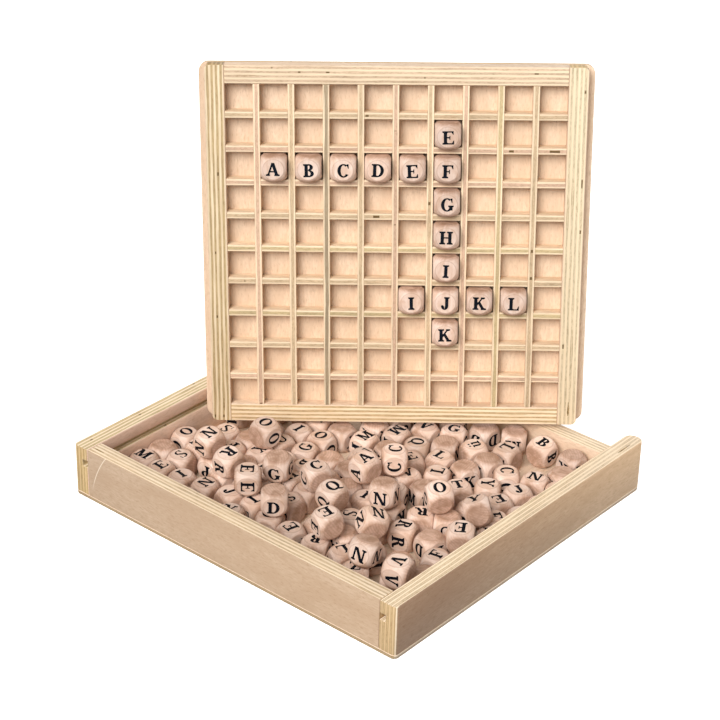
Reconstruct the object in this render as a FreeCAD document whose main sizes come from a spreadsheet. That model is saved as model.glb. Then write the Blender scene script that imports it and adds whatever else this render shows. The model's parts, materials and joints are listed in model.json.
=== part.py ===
import FreeCAD, Part
import itertools
import math
import os
import random
import Sketcher
from FreeCAD import Placement, Rotation, Vector

# Sliding-lid box for a word game: a plywood tray, a gridded lid that doubles as
# the playing board, and rounded wooden letter cubes. All sizes are millimetres.
# The tray's length runs along Y and the lid leaves it towards +Y. The origin is
# the centre of the tray's bottom face. The lid stands in the back of the tray.

os.makedirs("parts", exist_ok=True)
doc = FreeCAD.newDocument("WordGameBox")

SIZES = {
    "tray_width": 255.0,
    "tray_length": 240.5,
    "tray_height": 34.8,
    "wall_ply": 12.0,
    "base_ply": 2.5,
    "rear_drop": 14.2,
    "groove_drop": 8.2,
    "groove_gap": 4.4,
    "groove_depth": 4.6,
    "front_round": 3.0,
    "rear_round": 5.5,
    "cell": 17.0,
    "rib": 4.0,
    "cells_per_side": 10,
    "frame_side": 12.0,
    "frame_end": 11.5,
    "frame_round": 3.5,
    "panel_ply": 3.6,
    "panel_round": 6.0,
    "tongue": 4.1,
    "rib_depth": 8.4,
    "cube": 16.0,
    "ball": 10.25,
}

# How the lid stands in the tray: its turn about Z, how far it leans back, its
# roll in its own plane, and the place of the middle of its front face.
LID_TURN = 38.47
LID_LEAN = 8.26
LID_ROLL = 1.465
LID_MIDDLE = Vector(-25.5, 57.95, 136.0)

# Board cells that hold a cube, as (row from the top, column from the left).
ACROSS_WORD = [(3, column) for column in range(2, 7)]
DOWN_WORD = [(row, 7) for row in range(2, 9)]
LOWER_WORD = [(7, column) for column in (6, 8, 9)]

# A cube stands clear of the panel and of the strips round its cell, and rests
# a little low and left in the cell.
SEAT_GAP = 0.1
SEAT_LEFT = 0.12
SEAT_LOW = 0.35

# Loose cubes on top keep this gap to one another and to the walls.
CUBE_GAP = 0.3
# Cubes that stand on the floor are set out in rows and then pushed apart.
FLOOR_GAP = 0.1
PUSH_SPARE = 0.05
SEED_PITCH = 16.5
SEED_SHIFT = 4.0
NEAT_YAW = 4.0
ASKEW_YAW = 45.0
SETTLE_ROUNDS = 40
SEED = 11
# The floor shows in this corner: both coordinates are above these values.
BARE_CORNER = (50.0, 62.0)
# Cubes reach this far behind the standing lid.
BEHIND_LID = 14.0
BANDS = 5
DROP_HEIGHT = 60.0
DROP_STEP = 0.2

# Cubes that keep their places near the bare corner and the front corner: x, y and yaw.
CORNER_CUBES = [
    (89.5, 101.0, -12.0),
    (88.0, 61.5, 12.0),
    (54.0, 77.5, 2.0),
    (45.0, 101.0, 32.0),
    (27.5, 89.5, -8.0),
    (92.0, -79.0, 35.0),
    (69.0, -86.0, 40.0),
    (82.0, -62.0, 20.0),
    (96.0, -45.0, 8.0),
]

# Cubes that lie loose on top: x, y, yaw, lean and the azimuth it leans towards.
TOP_CUBES = [
    (-76.0, -55.0, -5.0, 9.0, -50.0),
    (-51.0, -64.0, -4.0, 11.0, -60.0),
    (-29.5, -70.0, 39.8, 6.0, -50.0),
    (-59.0, -23.0, -6.0, 5.0, -20.0),
    (-26.0, -47.0, 22.0, 9.0, -60.0),
    (-2.5, -76.0, 39.8, 3.0, -50.0),
    (-2.0, -39.5, -25.0, 3.0, -60.0),
    (20.0, -50.0, -5.0, 9.0, -50.0),
    (14.0, -13.0, -6.0, 8.0, -60.0),
    (40.5, -26.5, 20.0, 5.0, 130.0),
    (68.0, -9.0, -38.0, 13.0, -45.0),
    (67.5, 97.0, -5.0, 9.0, -50.0),
]

# Part-height cubes that fill the heap's middle, found by seeded trials.
FILLER_TRIALS = 90
FILLER_MIDDLE = Vector(62.0, -42.0, 0)
FILLER_REACH = (46.0, 50.0)
FILLER_YAW = 45.0
FILLER_LEAN = 32.0
FILLER_TOP = 27.4

SMALL = 0.001
X_WAY = Vector(1, 0, 0)
Y_WAY = Vector(0, 1, 0)
Z_WAY = Vector(0, 0, 1)


def make_sheet():
    sizes = doc.addObject("Spreadsheet::Sheet", "Sizes")
    for row, (alias, value) in enumerate(SIZES.items(), start=1):
        sizes.set(f"A{row}", alias)
        sizes.set(f"B{row}", str(value))
        sizes.setAlias(f"B{row}", alias)
    doc.recompute()
    return sizes


sheet = make_sheet()
pieces = []

WIDTH = sheet.tray_width
LENGTH = sheet.tray_length
WALL = sheet.wall_ply
BASE = sheet.base_ply
PITCH = sheet.cell + sheet.rib
CELLS = int(sheet.cells_per_side)
GRID = CELLS * sheet.cell + (CELLS - 1) * sheet.rib
INSIDE_X = WIDTH / 2 - WALL
INSIDE_Y = LENGTH / 2 - WALL
HALF = sheet.cube / 2
BALL = sheet.ball
FLAT = math.sqrt(BALL * BALL - HALF * HALF)
LID_DEPTH = sheet.panel_ply + sheet.rib_depth
FLOOR_CUBE = BASE + HALF

# Formulas over the sheet's cells.
WALL_HEIGHT = "Sizes.tray_height - Sizes.base_ply"
INSIDE_WIDTH = "Sizes.tray_width - 2 * Sizes.wall_ply"
GRID_SIDE = "(Sizes.cells_per_side * Sizes.cell + (Sizes.cells_per_side - 1) * Sizes.rib)"
LID_LENGTH = f"({GRID_SIDE} + 2 * Sizes.frame_end)"
PANEL_WIDTH = f"({GRID_SIDE} + 2 * Sizes.frame_side + 2 * Sizes.tongue)"


def value_of(formula):
    return float(sheet.evalExpression(formula))


def plane(body, role):
    for feature in body.Origin.OriginFeatures:
        if feature.Role == role:
            return feature
    raise ValueError(role)


def rectangle(body, name, role, left, low, width, height):
    """A rectangle on one of the body's planes; its place and size are sheet formulas."""
    sketch = body.newObject("Sketcher::SketchObject", name)
    sketch.AttachmentSupport = (plane(body, role), "")
    sketch.MapMode = "FlatFace"
    x, y = value_of(left), value_of(low)
    wide, high = value_of(width), value_of(height)
    corners = [Vector(x, y, 0), Vector(x + wide, y, 0), Vector(x + wide, y + high, 0), Vector(x, y + high, 0)]
    for side in range(4):
        sketch.addGeometry(Part.LineSegment(corners[side], corners[(side + 1) % 4]), False)
    for side in range(4):
        sketch.addConstraint(Sketcher.Constraint("Coincident", side, 2, (side + 1) % 4, 1))
        sketch.addConstraint(Sketcher.Constraint("Vertical" if side % 2 else "Horizontal", side))
    sized = [
        (Sketcher.Constraint("DistanceX", 0, 1, 0, 2, wide), width),
        (Sketcher.Constraint("DistanceY", 1, 1, 1, 2, high), height),
        (Sketcher.Constraint("DistanceX", -1, 1, 0, 1, x), left),
        (Sketcher.Constraint("DistanceY", -1, 1, 0, 1, y), low),
    ]
    for constraint, formula in sized:
        index = sketch.addConstraint(constraint)
        sketch.setExpression(f"Constraints[{index}]", formula)
    return sketch


def block(name, width, length, depth):
    """A body padded up from a centred rectangle on its own XY plane."""
    body = doc.addObject("PartDesign::Body", name)
    body.Label = name
    outline = rectangle(body, f"{name}_outline", "XY_Plane", f"-({width}) / 2", f"-({length}) / 2", width, length)
    pad = body.newObject("PartDesign::Pad", f"{name}_pad")
    pad.Profile = outline
    pad.setExpression("Length", depth)
    doc.recompute()
    pieces.append(body)
    return body


def round_corners(body, corners, radius):
    """Round the upright edges in the named quarters, each a pair of X and Y signs."""
    base = body.Tip
    names = []
    for index, edge in enumerate(base.Shape.Edges, start=1):
        low, high = edge.Vertexes[0].Point, edge.Vertexes[-1].Point
        upright = math.hypot(high.x - low.x, high.y - low.y) < SMALL
        if upright and (math.copysign(1, low.x), math.copysign(1, low.y)) in corners:
            names.append(f"Edge{index}")
    fillet = body.newObject("PartDesign::Fillet", f"{body.Name}_round{len(body.Group)}")
    fillet.Base = (base, names)
    fillet.setExpression("Radius", radius)
    doc.recompute()


def cut_through(body, name, left, low, width, height):
    """Cut a rectangle of the body's XZ plane right through the body along Y."""
    before = body.Tip.Shape.Volume
    outline = rectangle(body, f"{name}_outline", "XZ_Plane", left, low, width, height)
    pocket = body.newObject("PartDesign::Pocket", name)
    pocket.Profile = outline
    pocket.Type = "ThroughAll"
    pocket.Midplane = True
    doc.recompute()
    if body.Tip.Shape.Volume > before - SMALL:
        raise ValueError(f"{name} cuts nothing")
    return pocket


def base_panel():
    body = block("base_panel", "Sizes.tray_width", "Sizes.tray_length", "Sizes.base_ply")
    round_corners(body, [(-1, -1), (1, -1)], "Sizes.front_round")
    round_corners(body, [(-1, 1), (1, 1)], "Sizes.rear_round")


def long_wall(name, side):
    """A wall with the groove along its inner face; side is +1 at +X and -1 at -X."""
    body = block(name, "Sizes.wall_ply", "Sizes.tray_length", WALL_HEIGHT)
    round_corners(body, [(side, -1)], "Sizes.front_round")
    round_corners(body, [(-1, 1), (1, 1)], "Sizes.rear_round")
    inner_edge = "-Sizes.wall_ply / 2" if side > 0 else "Sizes.wall_ply / 2 - Sizes.groove_depth"
    groove_low = f"{WALL_HEIGHT} - Sizes.groove_drop - Sizes.groove_gap"
    cut_through(body, f"{name}_groove", inner_edge, groove_low, "Sizes.groove_depth", "Sizes.groove_gap")
    body.Placement = Placement(Vector(side * (WIDTH - WALL) / 2, 0, BASE), Rotation())


def end_walls():
    front = block("front_wall", INSIDE_WIDTH, "Sizes.wall_ply", WALL_HEIGHT)
    front.Placement = Placement(Vector(0, -(LENGTH - WALL) / 2, BASE), Rotation())
    rear = block("rear_wall", INSIDE_WIDTH, "Sizes.wall_ply", f"{WALL_HEIGHT} - Sizes.rear_drop")
    rear.Placement = Placement(Vector(0, (LENGTH - WALL) / 2, BASE), Rotation())


def lid_placement():
    turn = Rotation(Z_WAY, LID_TURN) * Rotation(X_WAY, 90 - LID_LEAN) * Rotation(Z_WAY, LID_ROLL)
    return Placement(LID_MIDDLE, turn)


LID = lid_placement()
LID_ACROSS = LID.Rotation.multVec(X_WAY)
LID_UP = LID.Rotation.multVec(Y_WAY)
LID_NORMAL = LID.Rotation.multVec(Z_WAY)


def on_lid(x, y, z, turn=0.0):
    """A place in the lid's own frame: X to the right, Y up, Z out of the front face."""
    return LID * Placement(Vector(x, y, z), Rotation(Z_WAY, turn))


def lid_panel():
    body = block("lid_panel", PANEL_WIDTH, LID_LENGTH, "Sizes.panel_ply")
    round_corners(body, [(-1, -1), (1, -1), (-1, 1), (1, 1)], "Sizes.panel_round")
    body.Placement = on_lid(0, 0, -LID_DEPTH)


def lid_frame():
    side_place = (GRID + sheet.frame_side) / 2
    end_place = (GRID + sheet.frame_end) / 2
    for name, side in (("lid_frame_left", -1), ("lid_frame_right", 1)):
        body = block(name, "Sizes.frame_side", LID_LENGTH, "Sizes.rib_depth")
        round_corners(body, [(side, -1), (side, 1)], "Sizes.frame_round")
        body.Placement = on_lid(side * side_place, 0, -sheet.rib_depth)
    for name, side in (("lid_frame_bottom", -1), ("lid_frame_top", 1)):
        body = block(name, GRID_SIDE, "Sizes.frame_end", "Sizes.rib_depth")
        body.Placement = on_lid(0, side * end_place, -sheet.rib_depth)


def strip(name, notch_low):
    """A grid strip along X with a half-depth notch at each crossing."""
    body = block(name, GRID_SIDE, "Sizes.rib", "Sizes.rib_depth")
    first = f"-{GRID_SIDE} / 2 + Sizes.cell"
    notch = cut_through(body, f"{name}_notch", first, notch_low, "Sizes.rib", "Sizes.rib_depth / 2")
    once = body.Tip.Shape.Volume
    pattern = body.newObject("PartDesign::LinearPattern", f"{name}_notches")
    pattern.Originals = [notch]
    pattern.Direction = (notch.Profile[0], ["H_Axis"])
    pattern.setExpression("Length", "(Sizes.cells_per_side - 2) * (Sizes.cell + Sizes.rib)")
    pattern.setExpression("Occurrences", "Sizes.cells_per_side - 1")
    body.Tip = pattern
    doc.recompute()
    if body.Tip.Shape.Volume > once - SMALL:
        raise ValueError(f"{name} has one notch only")
    return body


def grid_strips():
    """Upright strips are notched from the back, level strips from the front."""
    for index in range(1, CELLS):
        place = -GRID / 2 + index * PITCH - sheet.rib / 2
        upright = strip(f"upright_strip_{index}", "0")
        upright.Placement = on_lid(place, 0, -sheet.rib_depth, 90.0)
        crossing = strip(f"level_strip_{index}", "Sizes.rib_depth / 2")
        crossing.Placement = on_lid(0, -place, -sheet.rib_depth)


def cube_solid(name):
    """A cube with every edge and corner turned off by a ball."""
    box = doc.addObject("Part::Box", f"{name}_block")
    for side in ("Length", "Width", "Height"):
        box.setExpression(side, "Sizes.cube")
    box.Placement = Placement(Vector(-HALF, -HALF, -HALF), Rotation())
    sphere = doc.addObject("Part::Sphere", f"{name}_ball")
    sphere.setExpression("Radius", "Sizes.ball")
    common = doc.addObject("Part::Common", name)
    common.Base = box
    common.Tool = sphere
    common.Label = name
    return common


def single_cube(name, placement):
    cube = cube_solid(name)
    cube.Placement = placement
    pieces.append(cube)


def board_cubes():
    for row, column in ACROSS_WORD + DOWN_WORD + LOWER_WORD:
        x = -GRID / 2 + (column - 1) * PITCH + sheet.cell / 2 - SEAT_LEFT
        y = GRID / 2 - (row - 1) * PITCH - sheet.cell / 2 - SEAT_LOW
        z = -sheet.rib_depth + HALF + SEAT_GAP
        single_cube(f"board_cube_row{row}_column{column}", on_lid(x, y, z))


class LooseCube:
    """A rounded cube's middle and the directions that its faces point in."""

    def __init__(self, x, y, z, yaw, lean=0.0, towards=0.0, held=False):
        self.place = Vector(x, y, z)
        self.held = held
        tip = Rotation(Rotation(Z_WAY, towards).multVec(Y_WAY), lean)
        self.turn = tip * Rotation(Z_WAY, yaw)
        self.axes = [self.turn.multVec(way) for way in (X_WAY, Y_WAY, Z_WAY)]

    def reach(self, way):
        """How far the cube extends from its middle along a unit direction."""
        most = max(abs(axis.dot(way)) for axis in self.axes)
        if most * BALL < HALF:
            return BALL
        return HALF * most + FLAT * math.sqrt(max(0.0, 1.0 - most * most))


def level(way):
    flat = Vector(way.x, way.y, 0)
    return flat.normalize() if flat.Length > SMALL else Vector(X_WAY)


def widest_gap(one, other, ways):
    """The widest gap between two cubes among the directions, and its direction."""
    apart = other.place - one.place
    gaps = [abs(apart.dot(way)) - one.reach(way) - other.reach(way) for way in ways]
    gap = max(gaps)
    way = ways[gaps.index(gap)]
    return gap, way if apart.dot(way) > 0 else -way


def ways_between(one, other):
    apart = other.place - one.place
    between = Vector(apart).normalize() if apart.Length > SMALL else Vector(X_WAY)
    return [between] + one.axes + other.axes


def level_ways(one, other):
    return [level(way) for way in ways_between(one, other)]


def near(one, other):
    return one.place.distanceToPoint(other.place) < 2 * BALL + CUBE_GAP


def cubes_clear(one, other):
    return not near(one, other) or widest_gap(one, other, ways_between(one, other))[0] >= CUBE_GAP


def side_by_side(one, other):
    """Whether one cube can be lifted past the other without touching it."""
    return widest_gap(one, other, level_ways(one, other))[0] >= CUBE_GAP


LID_CENTRE = LID.multVec(Vector(0, 0, -LID_DEPTH / 2))
LID_HALVES = (value_of(PANEL_WIDTH) / 2, value_of(LID_LENGTH) / 2, LID_DEPTH / 2)
LID_FRONT_FOOT = LID.multVec(Vector(0, -value_of(LID_LENGTH) / 2, 0))
LID_BACK_FOOT = LID.multVec(Vector(0, -value_of(LID_LENGTH) / 2, -LID_DEPTH))


def lid_clear(cube):
    """Whether the lid's box lies clear of the cube along one of the lid's own axes."""
    apart = cube.place - LID_CENTRE
    for way, half in zip((LID_ACROSS, LID_UP, LID_NORMAL), LID_HALVES):
        if abs(apart.dot(way)) - half - cube.reach(way) >= CUBE_GAP:
            return True
    return False


def in_front_of_lid(cube):
    """Whether the cube clears the upright plane through the foot of the lid's front."""
    way = level(LID_NORMAL)
    return (cube.place - LID_FRONT_FOOT).dot(way) >= cube.reach(way) + CUBE_GAP


def inside_walls(cube):
    across = INSIDE_X - cube.reach(X_WAY) - CUBE_GAP
    along = INSIDE_Y - cube.reach(Y_WAY) - CUBE_GAP
    return abs(cube.place.x) <= across + SMALL and abs(cube.place.y) <= along + SMALL


def push_inside(cube):
    across = INSIDE_X - cube.reach(X_WAY) - CUBE_GAP
    along = INSIDE_Y - cube.reach(Y_WAY) - CUBE_GAP
    cube.place.x = max(-across, min(across, cube.place.x))
    cube.place.y = max(-along, min(along, cube.place.y))


def floor_seeds(rng):
    """Rows of cubes standing on the floor: neat at the left, askew towards the right."""
    rows = int(2 * INSIDE_Y / SEED_PITCH)
    columns = int(2 * INSIDE_X / SEED_PITCH)
    seeds = []
    for row, column in itertools.product(range(rows), range(columns)):
        askew = column / columns
        x = -INSIDE_X + (column + 0.5) * 2 * INSIDE_X / columns + rng.uniform(-1, 1) * SEED_SHIFT * askew
        y = -INSIDE_Y + (row + 0.5) * 2 * INSIDE_Y / rows + rng.uniform(-1, 1) * SEED_SHIFT * askew
        cube = LooseCube(x, y, FLOOR_CUBE, rng.uniform(-1, 1) * (NEAT_YAW + ASKEW_YAW * askew))
        behind = (LID_BACK_FOOT - cube.place).dot(level(LID_NORMAL))
        bare = x > BARE_CORNER[0] and y > BARE_CORNER[1]
        if behind < BEHIND_LID and not bare and lid_clear(cube):
            seeds.append(cube)
    return seeds


def push_round(cubes, pairs):
    """Push close cubes apart once; return how crowded each one was."""
    crowding = dict.fromkeys(cubes, 0.0)
    for one, other in pairs:
        gap, way = widest_gap(one, other, level_ways(one, other))
        if gap >= FLOOR_GAP + PUSH_SPARE:
            continue
        push = way * ((FLOOR_GAP + PUSH_SPARE - gap) / 2)
        if not one.held:
            one.place -= push
        if not other.held:
            other.place += push
        if gap < FLOOR_GAP:
            crowding[one] += FLOOR_GAP - gap
            crowding[other] += FLOOR_GAP - gap
    for cube in cubes:
        push_inside(cube)
    return crowding


def settle(cubes):
    """Push the cubes apart on the floor, taking the most crowded one away until none touch."""
    while True:
        pairs = [pair for pair in itertools.combinations(cubes, 2) if near(*pair)]
        for _ in range(SETTLE_ROUNDS):
            crowding = push_round(cubes, pairs)
        worst = max((cube for cube in cubes if not cube.held), key=crowding.get)
        if crowding[worst] == 0.0:
            return [cube for cube in cubes if lid_clear(cube)]
        cubes.remove(worst)


def drop(cube, heap):
    """Lower the cube until the next step would touch, and say whether it lies free."""
    cube.place.z = DROP_HEIGHT
    floor = BASE + cube.reach(Z_WAY) + CUBE_GAP
    while cube.place.z - DROP_STEP > floor:
        cube.place.z -= DROP_STEP
        if not all(cubes_clear(cube, other) for other in heap):
            cube.place.z += DROP_STEP
            break
    return inside_walls(cube) and in_front_of_lid(cube)


def fillers(rng, heap, tops):
    """Leaning cubes that lie in the hollows between the cubes on the floor."""
    found = []
    for _ in range(FILLER_TRIALS):
        x = FILLER_MIDDLE.x + rng.uniform(-1, 1) * FILLER_REACH[0]
        y = FILLER_MIDDLE.y + rng.uniform(-1, 1) * FILLER_REACH[1]
        yaw = rng.uniform(-1, 1) * FILLER_YAW
        cube = LooseCube(x, y, 0, yaw, rng.uniform(0, FILLER_LEAN), rng.uniform(0, 360))
        free = drop(cube, heap + found) and cube.place.z < FILLER_TOP
        if free and all(side_by_side(cube, top) for top in tops):
            found.append(cube)
    return found


def cube_group(name, cubes, template):
    """Several cubes that share a node, each a solid of its own."""
    solids = []
    for cube in cubes:
        solid = template.copy()
        solid.Placement = Placement(cube.place, cube.turn)
        solids.append(solid)
    group = doc.addObject("Part::Feature", name)
    group.Label = name
    group.Shape = Part.makeCompound(solids)
    pieces.append(group)


def loose_cubes():
    rng = random.Random(SEED)
    corner = [LooseCube(x, y, FLOOR_CUBE, yaw, held=True) for x, y, yaw in CORNER_CUBES]
    heap = settle(floor_seeds(rng) + corner)
    tops = []
    for number, (x, y, yaw, lean, towards) in enumerate(TOP_CUBES, start=1):
        cube = LooseCube(x, y, 0, yaw, lean, towards)
        if not drop(cube, heap + tops):
            raise ValueError(f"loose cube {number} doesn't lie free")
        tops.append(cube)
        single_cube(f"loose_cube_{number}", Placement(cube.place, cube.turn))
        print(f"loose_cube_{number} middle", [round(value, 1) for value in cube.place])
    heap += fillers(rng, heap, tops)
    doc.recompute()
    template = doc.getObject("loose_cube_1").Shape.copy()
    template.Placement = Placement()
    for band in range(BANDS):
        low = -INSIDE_Y + band * 2 * INSIDE_Y / BANDS
        high = low + 2 * INSIDE_Y / BANDS
        chosen = [cube for cube in heap if low <= cube.place.y < high]
        cube_group(f"cubes_band_{band + 1}", chosen, template)
        print(f"cubes_band_{band + 1}", len(chosen), "cubes")


def write_parts():
    doc.recompute()
    for thing in doc.Objects:
        if "Invalid" in thing.State or "Error" in thing.State:
            raise ValueError(f"{thing.Name} failed")
    for piece in pieces:
        if piece.Shape.isNull() or not piece.Shape.isValid():
            raise ValueError(f"{piece.Label} has no valid shape")
    for piece in pieces:
        piece.Shape.exportStep(f"parts/{piece.Label}.step")
    print(len(pieces), "parts written")


base_panel()
long_wall("left_wall", -1)
long_wall("right_wall", 1)
end_walls()
lid_panel()
lid_frame()
grid_strips()
board_cubes()
loose_cubes()
write_parts()
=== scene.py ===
import json
import math
import random

import bmesh
import bpy
import numpy as np
from mathutils import Matrix, Quaternion, Vector
from mathutils.geometry import delaunay_2d_cdt

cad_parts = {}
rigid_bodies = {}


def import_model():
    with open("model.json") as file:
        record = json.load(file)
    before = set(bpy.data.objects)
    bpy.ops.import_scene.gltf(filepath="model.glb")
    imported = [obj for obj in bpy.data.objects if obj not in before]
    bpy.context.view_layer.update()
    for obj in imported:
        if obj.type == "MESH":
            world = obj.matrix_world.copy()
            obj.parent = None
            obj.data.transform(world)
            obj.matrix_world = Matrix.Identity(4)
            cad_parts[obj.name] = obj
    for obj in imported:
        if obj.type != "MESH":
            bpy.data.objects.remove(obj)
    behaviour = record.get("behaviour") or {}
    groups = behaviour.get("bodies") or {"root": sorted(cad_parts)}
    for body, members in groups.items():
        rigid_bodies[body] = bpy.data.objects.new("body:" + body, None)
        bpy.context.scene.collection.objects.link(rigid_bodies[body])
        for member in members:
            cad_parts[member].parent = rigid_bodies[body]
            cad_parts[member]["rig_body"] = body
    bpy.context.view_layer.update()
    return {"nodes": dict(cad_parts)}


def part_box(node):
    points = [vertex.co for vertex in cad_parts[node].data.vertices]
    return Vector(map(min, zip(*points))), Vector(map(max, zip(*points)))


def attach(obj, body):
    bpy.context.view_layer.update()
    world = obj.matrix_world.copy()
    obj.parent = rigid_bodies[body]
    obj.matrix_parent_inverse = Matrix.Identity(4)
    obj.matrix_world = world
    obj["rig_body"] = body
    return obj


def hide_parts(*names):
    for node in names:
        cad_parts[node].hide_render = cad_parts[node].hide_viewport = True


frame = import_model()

# Sliding-lid word game box: birch plywood tray, gridded lid standing in it, and
# rounded letter cubes. Lengths in this script are millimetres until they are
# multiplied by MM, and everything in the meshes is metres.
MM = 0.001
X_WAY = Vector((1, 0, 0))
Y_WAY = Vector((0, 1, 0))
Z_WAY = Vector((0, 0, 1))
NODES = frame["nodes"]
BODY_OF = {name: thing["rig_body"] for name, thing in NODES.items()}

# The lid's own axes, as it stands in the tray: turned about Z, leaning back and rolled.
LID_TURN = math.radians(38.47)
LID_LEAN = math.radians(8.26)
LID_ROLL = math.radians(1.465)
LID_AXES = (
    Matrix.Rotation(LID_TURN, 3, "Z")
    @ Matrix.Rotation(math.pi / 2 - LID_LEAN, 3, "X")
    @ Matrix.Rotation(LID_ROLL, 3, "Z")
)
LID_ACROSS = LID_AXES @ X_WAY
LID_UP = LID_AXES @ Y_WAY
LID_OUT = LID_AXES @ Z_WAY

# Boards: how far their edges are eased.
WALL_EASE = 0.5
STRIP_EASE = 0.25
PANEL_EASE = 0.4
BASE_EASE = 0.3
# A board's surfaces: its veneered faces, the cuts along its grain and the cuts across it. Down to
# the depth of SKIN an eased edge shows the veneer.
FACE_CUT, LONG_CUT, END_CUT = 0.0, 1.0, 2.0
SKIN = 0.6
# How far a surface must face along a direction to count as a face or an end.
FACE_LEAST = 0.3
END_LEAST = 0.8
# Plies seen on an edge: middle of the first dark ply, spacing of the dark plies, how many there
# are and the share of the spacing that each one fills.
WALL_PLIES = (2.0, 2.67, 4, 0.48)
STRIP_PLIES = (2.0, 4.0, 1, 0.50)
PANEL_PLIES = (1.8, 3.6, 1, 0.36)
BASE_PLIES = (1.25, 2.5, 1, 0.36)

# Letter cubes: half their width, the ball that rounds them, and each disc's worn rim.
CUBE_HALF = 8.0
CUBE_BALL = 10.25
RIM_SPREAD = 0.18
RIM_STEPS = 24
# Letters, and how much of the ink's thickness lies in the wood.
LETTER_HEIGHT = 8.2
INK_THICK = 0.05
INK_SUNK = 0.02

# Points of a mesh this near to each other, in metres, are one point.
SAME_PLACE = 1e-6
# Triangles that meet at less than FLAT_ANGLE are one flat face. Edges sharper than EDGE_ANGLE are
# eased.
FLAT_ANGLE = math.radians(0.6)
EDGE_ANGLE = math.radians(40)


def linear(hex_colour):
    """An sRGB hex colour as the linear RGBA that shaders take."""
    values = [int(hex_colour[i:i + 2], 16) / 255 for i in (1, 3, 5)]
    return [v / 12.92 if v <= 0.04045 else ((v + 0.055) / 1.055) ** 2.4 for v in values] + [1.0]


# Inputs that are set by their place, because their names repeat: those of Math and Vector Math,
# and those of a colour Mix.
A, B, C = 0, 1, 2
SHARE, UNDER, OVER = 0, 6, 7
# Outputs other than the first: of an Attribute, a colour Mix, Vector Math, Separate XYZ and
# Texture Coordinate.
AS_VECTOR, AS_NUMBER = 1, 2
MIXED = 2
LENGTH = 1
ONLY_Z = 2
OBJECT_PLACE = 3
# A Mix from one colour to another, and a Mix that tints the first colour with the second.
BLEND = {"data_type": "RGBA"}
TINT = {"data_type": "RGBA", "blend_type": "MULTIPLY"}


def add(tree, kind, feeds=None, out=0, **settings):
    """Add a node, feed its sockets with values or other sockets, and return one output."""
    made = tree.nodes.new(kind)
    for name, value in settings.items():
        setattr(made, name, value)
    for name, value in (feeds or {}).items():
        if isinstance(value, bpy.types.NodeSocket):
            tree.links.new(value, made.inputs[name])
        else:
            made.inputs[name].default_value = value
    return made.outputs[out] if made.outputs else made


def fresh_material(name):
    material = bpy.data.materials.new(name)
    material.use_nodes = True
    material.node_tree.nodes.clear()
    return material


def finish_surface(tree, colour, roughness, height, bump_mm, sheen):
    """Uncoated wood or dry ink: a dull sheen over a relief of bump_mm."""
    relief = add(tree, "ShaderNodeBump", {"Height": height, "Strength": 0.6, "Distance": bump_mm * MM})
    surface = add(tree, "ShaderNodeBsdfPrincipled", {
        "Base Color": colour, "Roughness": roughness, "Normal": relief, "Specular IOR Level": sheen})
    add(tree, "ShaderNodeOutputMaterial", {"Surface": surface})


def figure(tree, spot, sizes, detail, rough=0.5, bent=0.0):
    """A pattern in the wood whose marks have the given sizes in millimetres: along the grain,
    across it and through the board."""
    per_mm = [1 / size for size in sizes]
    place = add(tree, "ShaderNodeVectorMath", {A: spot, B: per_mm}, operation="MULTIPLY")
    return add(tree, "ShaderNodeTexNoise", {
        "Vector": place, "Scale": 1.0, "Detail": detail, "Roughness": rough, "Distortion": bent})


def toned(tree, colour, tone, low, high):
    """The colour made darker or lighter by the piece's own tone."""
    level = add(tree, "ShaderNodeMapRange", {"Value": tone, "To Min": low, "To Max": high})
    grey = add(tree, "ShaderNodeCombineColor", {"Red": level, "Green": level, "Blue": level})
    return add(tree, "ShaderNodeMix", {SHARE: 1.0, UNDER: colour, OVER: grey}, MIXED, **TINT)


# Marks in birch, in millimetres along the grain, across it and through the board. Fibres and
# pores are about 0.3 mm wide on the wood, and drawn wider so that they show at arm's length.
VENEER_CLOUD = (71.43, 20.0, 20.0)
VENEER_FIBRE = (5.556, 1.613, 1.613)
VENEER_PORE = (3.333, 0.9091, 0.9091)
PLY_WANDER = (28.571, 28.571, 3.333)
PLY_SPECK = (2.381, 2.381, 0.5263)
PLY_STREAK = (20.0, 3.333, 0.5)
# How far a ply wanders up and down in its board, and how softly its edges show.
WANDER_REACH = 1.3
PLY_BLUR = 0.12
# A glue line's inner and outer half width.
GLUE_CORE, GLUE_EDGE = 0.05, 0.22
# A ply's shade changes in this length. How many times as fast the glue lines and the gaps change:
# along the board, across it and from ply to ply.
SHADE_RUN = 100 / 3
GLUE_PACE = (1.3, 1.3, 2.7)
GAP_PACE = (4.0, 4.0, 5.1)
# A gap's inner and outer half height, as shares of the spacing that its ply fills.
GAP_CORE, GAP_EDGE = 0.30, 0.42
# How much of the open ends' colour an end cut has all over.
END_SHADE = 0.25
# How far apart in the wood two boards with neighbouring tones are cut.
BOARD_SHIFT = 900.0


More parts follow.
